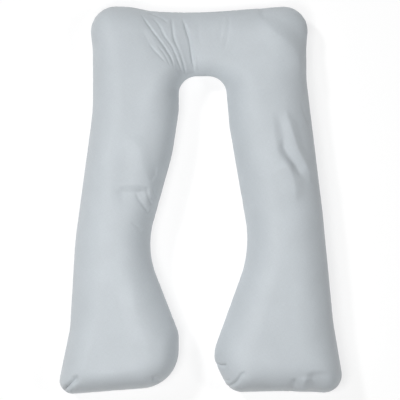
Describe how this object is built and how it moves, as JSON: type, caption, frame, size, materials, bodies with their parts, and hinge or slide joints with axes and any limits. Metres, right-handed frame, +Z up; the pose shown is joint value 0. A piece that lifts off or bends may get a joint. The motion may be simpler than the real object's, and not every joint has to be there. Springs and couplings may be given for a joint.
{
  "type": "u-shaped body pillow",
  "caption": "Full-length stuffed body pillow: two long flared legs joined by a short bar at the head, lying on its back on a flat face.",
  "frame": {"origin": "on the surface that the pillow lies on, under the middle of its box", "axes": "+Z up out of the surface, +Y along the legs towards the bar that joins them, +X across the pillow to the right leg"},
  "size_m": [1.0546, 1.449, 0.2061],
  "materials": {
    "cover": "smooth closely woven cotton, pale blue-grey, with a faint soft sheen"
  },
  "bodies": {
    "root": {"pillow": "cover"}
  },
  "joints": []
}
